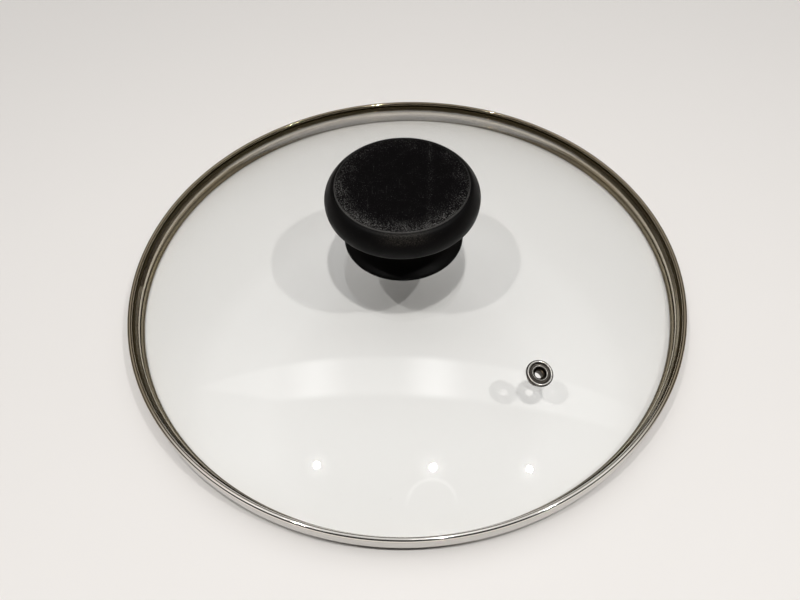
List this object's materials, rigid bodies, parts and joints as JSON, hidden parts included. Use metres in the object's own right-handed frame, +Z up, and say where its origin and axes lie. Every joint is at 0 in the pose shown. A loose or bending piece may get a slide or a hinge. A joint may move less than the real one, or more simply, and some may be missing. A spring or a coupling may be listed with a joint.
{
  "type": "glass pan lid",
  "caption": "Domed glass pan lid in a rolled steel rim, with a round mushroom-shaped knob, screwed through the glass, and a small steam vent eyelet.",
  "frame": {"origin": "centre of the rim's foot, on the plane the lid stands on", "axes": "+Z up along the knob's screw; the vent lies towards +X and -Y"},
  "size_m": [0.248, 0.248, 0.0663],
  "materials": {
    "tempered_glass": "clear polished",
    "stainless_steel": "polished",
    "eyelet_steel": "polished",
    "black_plastic": "satin",
    "textured_plastic": "fine grain",
    "foot_plastic": "satin",
    "brass": "machined",
    "zinc_plated_steel": "zinc plated",
    "clear_silicone": "translucent matte"
  },
  "bodies": {
    "lid": {"glass_dome": "tempered_glass", "rim_band": "stainless_steel", "vent_ring": "eyelet_steel", "vent_eyelet": "eyelet_steel", "vent_washer": "eyelet_steel", "seal_above": "clear_silicone", "seal_below": "clear_silicone"},
    "knob": {"knob_cap": "black_plastic", "knob_top_disc": "textured_plastic", "knob_foot": "foot_plastic", "knob_insert": "brass", "knob_screw": "zinc_plated_steel", "flat_washer": "zinc_plated_steel", "spring_washer": "zinc_plated_steel"}
  },
  "joints": [
    {"name": "knob_turn", "type": "hinge", "parent": "lid", "child": "knob", "pos_m": [0, 0, 0.05], "axis": [0, 0, 1], "continuous": true}
  ]
}
